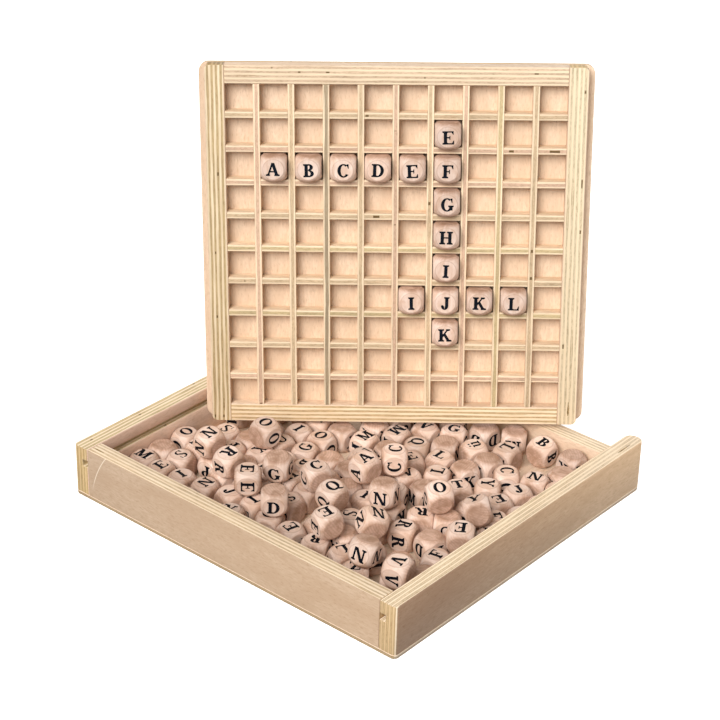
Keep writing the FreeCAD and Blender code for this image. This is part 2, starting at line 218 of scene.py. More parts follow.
def veneer(tree, spot, face):
    """Rotary-cut birch: soft clouds tens of millimetres long under fibres and short pores."""
    soft = add(tree, "ShaderNodeMix", {SHARE: 1.0, UNDER: face, OVER: linear("#E9E2DA")}, MIXED, **TINT)
    deep = add(tree, "ShaderNodeMix", {SHARE: 1.0, UNDER: face, OVER: linear("#D3C6B4")}, MIXED, **TINT)
    cloud = figure(tree, spot, VENEER_CLOUD, detail=4.0, rough=0.6, bent=1.0)
    cloud = add(tree, "ShaderNodeMapRange", {
        "Value": cloud, "From Min": 0.32, "From Max": 0.70, "To Max": 0.8}, interpolation_type="SMOOTHSTEP")
    fibre = figure(tree, spot, VENEER_FIBRE, detail=5.0, rough=0.75)
    fibre_mark = add(tree, "ShaderNodeMapRange", {"Value": fibre, "From Min": 0.38, "From Max": 0.68})
    pores = figure(tree, spot, VENEER_PORE, detail=2.0)
    pore_mark = add(tree, "ShaderNodeMapRange", {
        "Value": pores, "From Min": 0.55, "From Max": 0.74, "To Max": 0.6})
    colour = face
    for mark, over in ((cloud, soft), (fibre_mark, soft), (pore_mark, deep)):
        colour = add(tree, "ShaderNodeMix", {SHARE: mark, UNDER: colour, OVER: over}, MIXED, **BLEND)
    return colour, fibre


def ply_edge(tree, place, spot, plies, pale, cut, core, glue, glue_and_shade_amount):
    """Sawn plies: long plies pale and smooth, cross plies darker with open ends, glue between
    them. The boards' end cuts have dulled a little."""
    first, spacing, count, share = plies
    wander = figure(tree, spot, PLY_WANDER, detail=3.0)
    wander = add(tree, "ShaderNodeMath", {A: wander, B: 0.5}, operation="SUBTRACT")
    depth = add(tree, "ShaderNodeSeparateXYZ", {"Vector": place}, ONLY_Z)
    depth = add(tree, "ShaderNodeMath", {A: wander, B: WANDER_REACH, C: depth}, operation="MULTIPLY_ADD")
    depth = add(tree, "ShaderNodeMath", {A: depth, B: first}, operation="SUBTRACT")
    ply = add(tree, "ShaderNodeMath", {A: depth, B: spacing}, operation="DIVIDE")
    nearest = add(tree, "ShaderNodeMath", {A: ply}, operation="ROUND")
    nearest = add(tree, "ShaderNodeMath", {A: nearest, B: 0.0}, operation="MAXIMUM")
    nearest = add(tree, "ShaderNodeMath", {A: nearest, B: count - 1.0}, operation="MINIMUM")
    off = add(tree, "ShaderNodeMath", {A: ply, B: nearest}, operation="SUBTRACT")
    off = add(tree, "ShaderNodeMath", {A: off}, operation="ABSOLUTE")
    blur = PLY_BLUR / spacing
    in_cross = add(tree, "ShaderNodeMapRange", {
        "Value": off, "From Min": share / 2 - blur, "From Max": share / 2 + blur,
        "To Min": 1.0, "To Max": 0.0})

    # An end cut shows the open ends of the long plies instead, and is a shade darker all over.
    end_cut = add(tree, "ShaderNodeMath", {A: cut, B: (LONG_CUT + END_CUT) / 2}, operation="GREATER_THAN")
    open_ends = add(tree, "ShaderNodeMath", {A: end_cut, B: in_cross}, operation="SUBTRACT")
    open_ends = add(tree, "ShaderNodeMath", {A: open_ends}, operation="ABSOLUTE")
    open_ends = add(tree, "ShaderNodeMath", {A: end_cut, B: END_SHADE, C: open_ends},
                    operation="MULTIPLY_ADD", use_clamp=True)

    # Each ply has its own shade, which changes along the board, and its open ends show as specks.
    layer = add(tree, "ShaderNodeCombineXYZ", {"Z": nearest})
    layer = add(tree, "ShaderNodeVectorMath", {A: spot, B: (1 / SHADE_RUN, 1 / SHADE_RUN, 0.0), C: layer},
                operation="MULTIPLY_ADD")
    shade = add(tree, "ShaderNodeTexNoise", {"Vector": layer, "Scale": 1.0, "Detail": 3.0, "Roughness": 0.6})
    shade = add(tree, "ShaderNodeMapRange", {
        "Value": shade, "From Min": 0.3, "From Max": 0.7, "To Min": 0.75, "To Max": 1.08})
    specks = figure(tree, spot, PLY_SPECK, detail=3.0, rough=0.7)
    speck_mark = add(tree, "ShaderNodeMapRange", {
        "Value": specks, "From Min": 0.45, "From Max": 0.75, "To Max": 0.6})
    cross = add(tree, "ShaderNodeMix", {SHARE: speck_mark, UNDER: core, OVER: glue}, MIXED, **BLEND)
    cross = toned(tree, cross, shade, low=0.0, high=1.0)
    streak = figure(tree, spot, PLY_STREAK, detail=3.0, rough=0.6)
    streak = add(tree, "ShaderNodeMapRange", {
        "Value": streak, "From Min": 0.40, "From Max": 0.70, "To Max": 0.7})
    long_ply = add(tree, "ShaderNodeMix", {SHARE: streak, UNDER: pale, OVER: core}, MIXED, **BLEND)
    colour = add(tree, "ShaderNodeMix", {SHARE: open_ends, UNDER: long_ply, OVER: cross}, MIXED, **BLEND)
    dulled = add(tree, "ShaderNodeMix", {SHARE: 1.0, UNDER: colour, OVER: linear("#E6DAC2")}, MIXED, **TINT)
    colour = add(tree, "ShaderNodeMix", {SHARE: end_cut, UNDER: colour, OVER: dulled}, MIXED, **BLEND)

    # Glue lines come and go along the board, and show more where the board is greyed, which on the right wall
    # is painted shade.
    from_line = add(tree, "ShaderNodeMath", {A: off, B: share / 2}, operation="SUBTRACT")
    from_line = add(tree, "ShaderNodeMath", {A: from_line}, operation="ABSOLUTE")
    on_line = add(tree, "ShaderNodeMapRange", {
        "Value": from_line, "From Min": GLUE_CORE / spacing, "From Max": GLUE_EDGE / spacing,
        "To Min": 1.0, "To Max": 0.0})
    run_place = add(tree, "ShaderNodeVectorMath", {A: layer, B: GLUE_PACE}, operation="MULTIPLY")
    run = add(tree, "ShaderNodeTexNoise", {"Vector": run_place, "Scale": 1.0, "Detail": 1.0})
    run = add(tree, "ShaderNodeMath", {A: glue_and_shade_amount, B: 0.3, C: run}, operation="MULTIPLY_ADD")
    run = add(tree, "ShaderNodeMapRange", {
        "Value": run, "From Min": 0.54, "From Max": 0.74, "To Max": 0.7}, interpolation_type="SMOOTHSTEP")
    on_line = add(tree, "ShaderNodeMath", {A: on_line, B: run}, operation="MULTIPLY")
    colour = add(tree, "ShaderNodeMix", {SHARE: on_line, UNDER: colour, OVER: glue}, MIXED, **BLEND)

    # Here and there a cross ply has a short gap, painted dark as the shade inside the hollow.
    gap_place = add(tree, "ShaderNodeVectorMath", {A: layer, B: GAP_PACE}, operation="MULTIPLY")
    gap = add(tree, "ShaderNodeTexNoise", {"Vector": gap_place, "Scale": 1.0, "Detail": 0.0})
    gap = add(tree, "ShaderNodeMapRange", {"Value": gap, "From Min": 0.775, "From Max": 0.79})
    inner = add(tree, "ShaderNodeMapRange", {
        "Value": off, "From Min": share * GAP_CORE, "From Max": share * GAP_EDGE,
        "To Min": 1.0, "To Max": 0.0})
    gap = add(tree, "ShaderNodeMath", {A: gap, B: inner}, operation="MULTIPLY")
    colour = add(tree, "ShaderNodeMix", {SHARE: gap, UNDER: colour, OVER: linear("#6A5230")}, MIXED, **BLEND)
    return colour, specks


# The scratch on the front wall, in millimetres. It is an arc: the place of its middle from the
# wall's left end and from its top, and its radius.
SCRATCH = (72.2, 41.8, 70.3)
SCRATCH_CORE, SCRATCH_EDGE = 0.1, 0.4
SCRATCH_FADES, SCRATCH_ENDS = 18.0, 27.0
SCRATCH_REACH = 40.0


def scratched(tree, place, colour, along, across, radius):
    """A light scratch in the outer veneer near the board's left end. It fades out downwards."""
    flat = add(tree, "ShaderNodeVectorMath", {A: place, B: (1, 1, 0)}, operation="MULTIPLY")
    away = add(tree, "ShaderNodeVectorMath", {A: flat, B: (along, across, 0)}, operation="SUBTRACT")
    away = add(tree, "ShaderNodeVectorMath", {A: away}, LENGTH, operation="LENGTH")
    away = add(tree, "ShaderNodeMath", {A: away, B: radius}, operation="SUBTRACT")
    away = add(tree, "ShaderNodeMath", {A: away}, operation="ABSOLUTE")
    line = add(tree, "ShaderNodeMapRange", {
        "Value": away, "From Min": SCRATCH_CORE, "From Max": SCRATCH_EDGE, "To Min": 1.0, "To Max": 0.0})
    x, y, z = add(tree, "ShaderNodeSeparateXYZ", {"Vector": place}).node.outputs
    fade = add(tree, "ShaderNodeMapRange", {
        "Value": y, "From Min": SCRATCH_FADES, "From Max": SCRATCH_ENDS, "To Min": 0.7, "To Max": 0.0})
    outer = add(tree, "ShaderNodeMath", {A: z, B: SKIN}, operation="LESS_THAN")
    near_end = add(tree, "ShaderNodeMath", {A: x, B: SCRATCH_REACH}, operation="LESS_THAN")
    for limit in (fade, outer, near_end):
        line = add(tree, "ShaderNodeMath", {A: line, B: limit}, operation="MULTIPLY")
    return add(tree, "ShaderNodeMix", {SHARE: line, UNDER: colour, OVER: linear("#F4E6D0")}, MIXED, **BLEND)


def plywood(name, plies, pale, glue, scratch=None):
    """Birch plywood, sawn and sanded, uncoated: satin faces with faint figure, striped edges."""
    material = fresh_material(name)
    tree = material.node_tree
    place = add(tree, "ShaderNodeAttribute", None, AS_VECTOR, attribute_name="board_mm")
    face = add(tree, "ShaderNodeAttribute", attribute_name="board_face")
    core = add(tree, "ShaderNodeAttribute", attribute_name="board_core")
    tone = add(tree, "ShaderNodeAttribute", None, AS_NUMBER, attribute_name="board_tone")
    cut = add(tree, "ShaderNodeAttribute", None, AS_NUMBER, attribute_name="board_cut")
    grey_and_shade = add(tree, "ShaderNodeAttribute", None, AS_NUMBER, attribute_name="board_stain")
    shift = add(tree, "ShaderNodeMath", {A: tone, B: BOARD_SHIFT}, operation="MULTIPLY")
    shift = add(tree, "ShaderNodeCombineXYZ", {"X": shift, "Y": shift})
    spot = add(tree, "ShaderNodeVectorMath", {A: place, B: shift}, operation="ADD")
    colour, fibre = veneer(tree, spot, face)
    edge, specks = ply_edge(tree, place, spot, plies, linear(pale), cut, core, linear(glue), grey_and_shade)
    on_edge = add(tree, "ShaderNodeMath", {A: cut, B: (FACE_CUT + LONG_CUT) / 2}, operation="GREATER_THAN")
    # A grey-brown cast in the veneer near one end of a board. On the right wall and the lid panel it is
    # painted shade; on the left wall it greys the front end and strengthens its glue lines.
    grey = add(tree, "ShaderNodeMix", {SHARE: 1.0, UNDER: colour, OVER: linear("#BDB4B3")}, MIXED, **TINT)
    colour = add(tree, "ShaderNodeMix", {SHARE: grey_and_shade, UNDER: colour, OVER: grey}, MIXED, **BLEND)
    if scratch:
        colour = scratched(tree, place, colour, *scratch)
    colour = add(tree, "ShaderNodeMix", {SHARE: on_edge, UNDER: colour, OVER: edge}, MIXED, **BLEND)
    colour = toned(tree, colour, tone, low=0.94, high=1.05)
    roughness = add(tree, "ShaderNodeMapRange", {"Value": fibre, "To Min": 0.50, "To Max": 0.68})
    height = add(tree, "ShaderNodeMath", {A: specks, B: on_edge, C: fibre}, operation="MULTIPLY_ADD")
    finish_surface(tree, colour, roughness, height, bump_mm=0.05, sheen=0.3)
    return material


# Torn fibres in a void, and the uneven wear and pooling of the ink, in millimetres.
TORN_FIBRE = 0.9
INK_WEAR = 1.1
INK_POOL = 6.0


def open_ply(name):
    """A void where a cross ply opened: torn fibres, rough, and dark partly from their own colour and partly
    as painted shade of the hollow.
    """
    material = fresh_material(name)
    tree = material.node_tree
    place = add(tree, "ShaderNodeTexCoord", None, OBJECT_PLACE)
    torn = add(tree, "ShaderNodeTexNoise", {"Vector": place, "Scale": 1 / (TORN_FIBRE * MM), "Detail": 3.0})
    depth = add(tree, "ShaderNodeMapRange", {"Value": torn, "From Min": 0.35, "From Max": 0.65})
    colour = add(tree, "ShaderNodeMix", {
        SHARE: depth, UNDER: linear("#6B5230"), OVER: linear("#A58A5C")}, MIXED, **BLEND)
    roughness = add(tree, "ShaderNodeMapRange", {"Value": torn, "To Min": 0.8, "To Max": 0.95})
    finish_surface(tree, colour, roughness, torn, bump_mm=0.05, sheen=0.2)
    return material


# Marks in beech, in millimetres along the grain, across it and through. Flecks and pores are
# drawn about twice as wide as they are.
BEECH_SWAY = (25.0, 7.143, 7.143)
BEECH_MOTTLE = (14.286, 6.25, 6.25)
BEECH_FLECK = (1.818, 0.2941, 0.2941)
BEECH_PORE = (2.0, 0.5263, 0.5263)
# Growth rings: their spacing, how far they sway, and how much of their curve runs along the grain.
RING_GAP = 1.6
RING_SWAY = 2.6
RING_BEND = (0.06, 1.0, 1.0)
# The middle of the rings lies at least this far from the cube's, and farther by a share of the
# cube's shift.
PITH = (0.0, 16.0, 9.0)
PITH_SHARE = (0.0, 0.31, 0.17)
# Depths below a disc where the end grain's colour starts and is full, and where the painted shade along the
# rubbed rim does. That line also has a depth below the ball.
END_STARTS, END_FULL = 2.4, 0.05
RIM_SHADE_STARTS, RIM_SHADE_FULL = 0.38, 0.08
BALL_SHADE_STARTS, BALL_SHADE_FULL = 0.27, 0.07
# How far apart in the wood two cubes with neighbouring tones are cut.
CUBE_SHIFT = (310.0, 77.0, 131.0)


def tumbled_beech(name, pale, dark, end_pale, end_dark):
    """Beech cubes tumbled smooth, uncoated: pinkish with short ray flecks along the grain, and
    browner ends where growth rings show as faint arcs."""
    material = fresh_material(name)
    tree = material.node_tree
    pale, dark, end_pale, end_dark = (linear(colour) for colour in (pale, dark, end_pale, end_dark))
    place = add(tree, "ShaderNodeAttribute", None, AS_VECTOR, attribute_name="cube_mm")
    tone = add(tree, "ShaderNodeAttribute", None, AS_NUMBER, attribute_name="tone")
    shift = add(tree, "ShaderNodeCombineXYZ", {"X": tone, "Y": tone, "Z": tone})
    shift = add(tree, "ShaderNodeVectorMath", {A: shift, B: CUBE_SHIFT}, operation="MULTIPLY")
    spot = add(tree, "ShaderNodeVectorMath", {A: place, B: shift}, operation="ADD")
    along = add(tree, "ShaderNodeSeparateXYZ", {"Vector": place})
    along = add(tree, "ShaderNodeMath", {A: along}, operation="ABSOLUTE")
    on_end = add(tree, "ShaderNodeMapRange", {
        "Value": along, "From Min": CUBE_HALF - END_STARTS, "From Max": CUBE_HALF - END_FULL},
        interpolation_type="SMOOTHSTEP")

    # Growth rings, straight along the grain and curved across it.
    pith = add(tree, "ShaderNodeVectorMath", {A: shift, B: PITH_SHARE}, operation="MULTIPLY")
    pith = add(tree, "ShaderNodeVectorMath", {A: pith, B: PITH}, operation="ADD")
    from_pith = add(tree, "ShaderNodeVectorMath", {A: place, B: RING_BEND, C: pith},
                    operation="MULTIPLY_ADD")
    from_pith = add(tree, "ShaderNodeVectorMath", {A: from_pith}, LENGTH, operation="LENGTH")
    sway = figure(tree, spot, BEECH_SWAY, detail=3.0)
    phase = add(tree, "ShaderNodeMath", {A: sway, B: RING_SWAY, C: from_pith}, operation="MULTIPLY_ADD")
    phase = add(tree, "ShaderNodeMath", {A: phase, B: 2 * math.pi / RING_GAP}, operation="MULTIPLY")
    rings = add(tree, "ShaderNodeMath", {A: phase}, operation="SINE")
    mottle = figure(tree, spot, BEECH_MOTTLE, detail=4.0, rough=0.6, bent=0.8)
    mottle_mark = add(tree, "ShaderNodeMapRange", {
        "Value": mottle, "From Min": 0.30, "From Max": 0.72}, interpolation_type="SMOOTHSTEP")

    flecks = figure(tree, spot, BEECH_FLECK, detail=2.0)
    fleck_mark = add(tree, "ShaderNodeMapRange", {
        "Value": flecks, "From Min": 0.58, "From Max": 0.72, "To Max": 0.28})
    side_rings = add(tree, "ShaderNodeMapRange", {"Value": rings, "From Min": -0.2, "To Max": 0.20})
    side = pale
    for mark, over in ((mottle_mark, dark), (side_rings, dark), (fleck_mark, end_dark)):
        side = add(tree, "ShaderNodeMix", {SHARE: mark, UNDER: side, OVER: over}, MIXED, **BLEND)

    pores = figure(tree, spot, BEECH_PORE, detail=3.0, rough=0.6)
    pore_mark = add(tree, "ShaderNodeMapRange", {
        "Value": pores, "From Min": 0.40, "From Max": 0.72, "To Max": 0.35})
    end_rings = add(tree, "ShaderNodeMapRange", {"Value": rings, "From Min": -0.6, "To Max": 0.34})
    end = end_pale
    for mark in (mottle_mark, end_rings, pore_mark):
        end = add(tree, "ShaderNodeMix", {SHARE: mark, UNDER: end, OVER: end_dark}, MIXED, **BLEND)
    colour = add(tree, "ShaderNodeMix", {SHARE: on_end, UNDER: side, OVER: end}, MIXED, **BLEND)

    # Each disc's rim is rubbed, and a line 0.4 mm wide along it is a little darker: partly wear, partly
    # painted shade at the crease between disc and ball.
    sides = add(tree, "ShaderNodeVectorMath", {A: place}, operation="ABSOLUTE")
    x, y, z = add(tree, "ShaderNodeSeparateXYZ", {"Vector": sides}).node.outputs
    farthest = add(tree, "ShaderNodeMath", {A: x, B: y}, operation="MAXIMUM")
    farthest = add(tree, "ShaderNodeMath", {A: farthest, B: z}, operation="MAXIMUM")
    outward = add(tree, "ShaderNodeVectorMath", {A: place}, LENGTH, operation="LENGTH")
    near_disc = add(tree, "ShaderNodeMapRange", {
        "Value": farthest, "From Min": CUBE_HALF - RIM_SHADE_STARTS, "From Max": CUBE_HALF - RIM_SHADE_FULL})
    near_ball = add(tree, "ShaderNodeMapRange", {
        "Value": outward, "From Min": CUBE_BALL - BALL_SHADE_STARTS, "From Max": CUBE_BALL - BALL_SHADE_FULL,
        "To Max": 0.45})
    rim = add(tree, "ShaderNodeMath", {A: near_disc, B: near_ball}, operation="MULTIPLY")
    colour = add(tree, "ShaderNodeMix", {SHARE: rim, UNDER: colour, OVER: end_dark}, MIXED, **BLEND)
    colour = toned(tree, colour, tone, low=0.88, high=1.13)
    roughness = add(tree, "ShaderNodeMapRange", {"Value": mottle, "To Min": 0.46, "To Max": 0.62})
    height = add(tree, "ShaderNodeMath", {A: flecks, B: pores}, operation="ADD")
    finish_surface(tree, colour, roughness, height, bump_mm=0.04, sheen=0.3)
    return material


def stamped_ink(name):
    """Hot-stamped navy ink: thin, dry and dull, a little lighter where the fibres show through."""
    material = fresh_material(name)
    tree = material.node_tree
    place = add(tree, "ShaderNodeTexCoord", None, OBJECT_PLACE)
    wear = add(tree, "ShaderNodeTexNoise", {"Vector": place, "Scale": 1 / (INK_WEAR * MM), "Detail": 3.0})
    worn = add(tree, "ShaderNodeMapRange", {
        "Value": wear, "From Min": 0.58, "From Max": 0.80, "To Max": 0.30})
    pool = add(tree, "ShaderNodeTexNoise", {"Vector": place, "Scale": 1 / (INK_POOL * MM), "Detail": 2.0})
    pooled = add(tree, "ShaderNodeMapRange", {
        "Value": pool, "From Min": 0.45, "From Max": 0.75, "To Max": 0.6})
    colour = add(tree, "ShaderNodeMix", {
        SHARE: pooled, UNDER: linear("#040912"), OVER: linear("#0B1424")}, MIXED, **BLEND)
    colour = add(tree, "ShaderNodeMix", {SHARE: worn, UNDER: colour, OVER: linear("#20222E")}, MIXED, **BLEND)
    finish_surface(tree, colour, roughness=0.6, height=wear, bump_mm=0.02, sheen=0.1)
    return material


def in_scene(name, data):
    """A new object, linked into the scene."""
    made = bpy.data.objects.new(name, data)
    bpy.context.scene.collection.objects.link(made)
    return made


def worked_mesh(name, work):
    """The mesh that was worked on, as a mesh of its own."""
    mesh = bpy.data.meshes.new(name)
    work.to_mesh(mesh)
    work.free()
    return mesh


def note(mesh, name, kind, values, field="value", domain="POINT"):
    """Store values under a name that a material or the set-out reads."""
    flat = np.ravel(values).astype(np.int32 if kind == "INT" else np.float32)
    mesh.attributes.new(name, kind, domain).data.foreach_set(field, flat)


def flat_copy(name):
    """The node's mesh with its triangles merged back into the faces of the board."""
    work = bmesh.new()
    work.from_mesh(NODES[name].data)
    bmesh.ops.remove_doubles(work, verts=work.verts, dist=SAME_PLACE)
    bmesh.ops.dissolve_limit(work, angle_limit=FLAT_ANGLE, verts=work.verts, edges=work.edges)
    return worked_mesh(f"{name}_wood", work)


def bake_modifiers(piece):
    """Work the object's modifiers into its mesh and take them off."""
    graph = bpy.context.evaluated_depsgraph_get()
    mesh = bpy.data.meshes.new_from_object(piece.evaluated_get(graph))
    piece.modifiers.clear()
    piece.data = mesh
    mesh.name = piece.name
    return mesh


def board(name, material, along, through, ease, face, core, grey_and_shade=None):
    """A board with eased edges, standing for the CAD node. It carries its own millimetre coordinates (along
    the grain, across it and through the plies), the colours of its veneer and its cross plies, and where it
    is greyed: a point, the reach and the strength. On the right wall and the lid panel that greying is
    painted shade."""
    piece = in_scene(f"{name}_wood", flat_copy(name))
    eased = piece.modifiers.new("eased edges", "BEVEL")
    eased.width = ease * MM
    eased.segments = 2
    eased.limit_method = "ANGLE"
    eased.angle_limit = EDGE_ANGLE
    eased.harden_normals = True
    for polygon in piece.data.polygons:
        polygon.use_smooth = True
    mesh = bake_modifiers(piece)
    across = through.cross(along)
    places = np.array([vertex.co for vertex in mesh.vertices]) / MM
    local = places @ np.array([along, across, through]).T
    local -= local.min(0)
    count = len(places)
    note(mesh, "board_mm", "FLOAT_VECTOR", local, "vector")
    note(mesh, "board_face", "FLOAT_COLOR", linear(face) * count, "color")
    note(mesh, "board_core", "FLOAT_COLOR", linear(core) * count, "color")
    note(mesh, "board_tone", "FLOAT", [TONES.random()] * count)
    # A grey cast that fades out from its point; on the right wall and the lid panel it is painted shade.
    grey_and_shade_amounts = np.zeros(count)
    if grey_and_shade:
        middle, reach, most = grey_and_shade
        grey_and_shade_amounts = most * np.clip(1 - np.linalg.norm(places - np.array(middle), axis=1) / reach, 0, 1)
    note(mesh, "board_stain", "FLOAT", grey_and_shade_amounts)
    cuts = []
    depth = local[:, 2]
    for polygon in mesh.polygons:
        outer = [depth[i] < SKIN or depth[i] > depth.max() - SKIN for i in polygon.vertices]
        on_face = abs(polygon.normal.dot(through)) > FACE_LEAST and all(outer)
        on_end = abs(polygon.normal.dot(along)) > END_LEAST
        cuts.append(FACE_CUT if on_face else END_CUT if on_end else LONG_CUT)
    note(mesh, "board_cut", "FLOAT", cuts, domain="FACE")
    mesh.materials.clear()
    mesh.materials.append(material)
    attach(piece, BODY_OF[name])
    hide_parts(name)


# Each board's tone, 0 for dark and 1 for light, is drawn in the order in which the boards are made.
TONE_SEED = 5
TONES = random.Random(TONE_SEED)
# Shades of the cross plies.
OLIVE = "#CFB88C"
TAN = "#D8BC98"
PINK = "#D8B498"
GREY = "#A8957A"


def tray_boards():
    wall = plywood("sanded_birch_plywood_12mm", WALL_PLIES, "#EEDABE", "#957142")
    marked = plywood("scratched_birch_plywood_12mm", WALL_PLIES, "#EEDABE", "#957142", SCRATCH)
    base = plywood("sanded_birch_plywood_2.5mm", BASE_PLIES, "#C2B19B", "#8A6A3C")
    # Both long walls are greyed towards the front: from where, how far and how strongly. On the right wall
    # this is painted shade, darkest at its front corner and fading towards the rear.
    low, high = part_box("left_wall")
    left_greying = ((low.x / MM, low.y / MM, high.z / MM), 0.8 * (high.y - low.y) / MM, 0.5)
    low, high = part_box("right_wall")
    right_painted_shade = ((high.x / MM, low.y / MM, high.z / MM), 0.85 * (high.y - low.y) / MM, 1.25)
    board("left_wall", wall, Y_WAY, X_WAY, WALL_EASE, "#FBDEC8", OLIVE, left_greying)
    board("right_wall", wall, Y_WAY, X_WAY, WALL_EASE, "#DCBC98", "#E2CAA8", right_painted_shade)
    board("front_wall", marked, X_WAY, Y_WAY, WALL_EASE, "#C4A98E", TAN)
    board("rear_wall", wall, X_WAY, Y_WAY, WALL_EASE, "#E5CBB1", "#DEC6A4")
    board("base_panel", base, Y_WAY, Z_WAY, BASE_EASE, "#F2DCC4", "#AE9A80")


def lid_boards():
    framing = plywood("sanded_birch_plywood_frame", WALL_PLIES, "#EFDAB8", "#8C6C3E")
    panel = plywood("sanded_lime_veneer_panel", PANEL_PLIES, "#EED6AE", "#8C6C3E")
    strip = plywood("three_ply_strip_4mm", STRIP_PLIES, "#F5DEBC", "#8A6A46")
    # The panel has faint painted shade at its top left corner, which fades all the way down.
    low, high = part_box("lid_frame_left")
    panel_painted_shade = ((low.x / MM, low.y / MM, high.z / MM), 300.0, 0.3)
    board("lid_panel", panel, LID_UP, LID_OUT, PANEL_EASE, "#EED4B9", TAN, panel_painted_shade)
    board("lid_frame_left", framing, LID_UP, LID_ACROSS, WALL_EASE, "#E8CFB5", "#C4A87C")
    board("lid_frame_right", framing, LID_UP, LID_ACROSS, WALL_EASE, "#E8CFB5", "#E2CDAA")
    board("lid_frame_bottom", framing, LID_ACROSS, LID_UP, WALL_EASE, "#E8CFB5", "#CCAC82")
    board("lid_frame_top", framing, LID_ACROSS, LID_UP, WALL_EASE, "#E8CFB5", "#DCBEA0")
    upright_cores = (PINK, TAN, GREY, TAN, PINK, TAN, PINK, OLIVE, TAN)
    level_cores = (TAN, PINK, PINK, TAN, OLIVE, TAN, OLIVE, TAN, PINK)
    for index, (upright_core, level_core) in enumerate(zip(upright_cores, level_cores), start=1):
        board(f"upright_strip_{index}", strip, LID_UP, LID_ACROSS, STRIP_EASE, "#F2DABC", upright_core)
        board(f"level_strip_{index}", strip, LID_ACROSS, LID_UP, STRIP_EASE, "#F2DABC", level_core)


# Voids in the cut edges: board, a place near it, the void's direction, the edge's way out, and
# half the void's length and width.
SPLITS = (
    ("lid_frame_left", (-98.0, -19.1, 31.0), LID_UP, LID_OUT, 4.5, 0.35),
    ("lid_frame_right", (71.5, 116.5, 36.2), LID_UP, LID_OUT, 5.0, 0.5),
    ("right_wall", (124.0, 102.0, 34.8), Y_WAY, Z_WAY, 7.0, 0.4),
    ("front_wall", (-109.5, -115.5, 34.8), X_WAY, Z_WAY, 4.0, 0.45),
)
SPLIT_STEPS = 12
SPLIT_RAGGED = 0.35
SPLIT_PROUD = 0.02
SPLIT_DEEP = 0.03


def splits():
    """Each void is a ragged sliver let into the cut edge of its board."""
    hollow = open_ply("open_cross_ply")
    for name, near, along, out, half_long, half_wide in SPLITS:
        surface = max(vertex.co.dot(out) for vertex in NODES[name].data.vertices)
        middle = Vector(near) * MM
        middle += out * (surface - middle.dot(out))
        across = out.cross(along)
        work = bmesh.new()
        rims = [[], []]
        for step in range(SPLIT_STEPS):
            angle = 2 * math.pi * step / SPLIT_STEPS
            ragged = half_wide * (1 + SPLIT_RAGGED * math.cos(3 * angle))
            reach = along * math.cos(angle) * half_long + across * math.sin(angle) * ragged
            for rim, height in zip(rims, (SPLIT_PROUD, -SPLIT_DEEP)):
                rim.append(work.verts.new(middle + (reach + out * height) * MM))
        for rim in rims:
            work.faces.new(rim)
        for step in range(SPLIT_STEPS):
            after = (step + 1) % SPLIT_STEPS
            work.faces.new((rims[0][step], rims[1][step], rims[1][after], rims[0][after]))
        bmesh.ops.recalc_face_normals(work, faces=work.faces)
        mesh = worked_mesh(f"{name}_open_ply", work)
        mesh.materials.append(hollow)
        piece = in_scene(f"{name}_open_ply", mesh)
        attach(piece, BODY_OF[name])


# Letters: bold roman capitals with slab serifs, in units of the capital height. THICK, THIN and
# SLAB are the widths of a main stroke, a light stroke and a serif or arm. BRACKET is how far a
# serif runs up its stroke, SERIF how far a stem's serif stands out from it, BEAK_TIP and BEAK_ROOT
# how thick a beak is at its tip and its root, and ARC_STEPS how many straights make a quarter turn.
THICK = 0.25
THIN = 0.14
SLAB = 0.105
BRACKET = 0.045
SERIF = 0.1
BEAK_TIP, BEAK_ROOT = 0.045, 0.15
ARC_STEPS = 7


def block(x0, x1, y0, y1):
    return [(x0, y0), (x1, y0), (x1, y1), (x0, y1)]


def slant(x0, y0, x1, y1, wide):
    return [(x0 - wide / 2, y0), (x0 + wide / 2, y0), (x1 + wide / 2, y1), (x1 - wide / 2, y1)]


def arm(x0, x1, y):
    """A level stroke whose lower edge is at y."""
    return block(x0, x1, y, y + SLAB)


def foot(x, y, way, half=0.205, stroke=THICK):
    """A bracketed serif at the end of a stroke; way is +1 at its foot and -1 at its head."""
    high = y + way * (SLAB + BRACKET)
    return [(x - half, y), (x + half, y), (x + half, y + way * SLAB), (x + stroke / 2, high),
            (x - stroke / 2, high), (x - half, y + way * SLAB)]


def stem(x, wide=THICK):
    half = wide / 2 + SERIF
    return [block(x - wide / 2, x + wide / 2, 0, 1), foot(x, 0, 1, half, wide), foot(x, 1, -1, half, wide)]


def beak(x, y, way, tall=0.27):
    """The upright serif that closes the arm of an E, F, L, T or Z."""
    end = y + way * tall
    return [(x, y), (x, end), (x - BEAK_TIP, end), (x - BEAK_ROOT, y + way * SLAB), (x - BEAK_ROOT, y)]


def bowl(x, y, rx, ry, start, end, side=THICK, top=SLAB):
    """A piece of a round stroke: thick at its sides, thin at its top and bottom."""
    steps = max(3, int(ARC_STEPS * abs(end - start) / 90))
    angles = [math.radians(start + (end - start) * i / steps) for i in range(steps + 1)]
    outer = [(x + rx * math.cos(a), y + ry * math.sin(a)) for a in angles]
    inner = [(x + (rx - side) * math.cos(a), y + (ry - top) * math.sin(a)) for a in reversed(angles)]
    return outer + inner


def dots(x, y, apart=0.14, size=0.085):
    return [bowl(x + way * apart, y, size, size, 0, 350, size * 0.95, size * 0.95) for way in (-1, 1)]


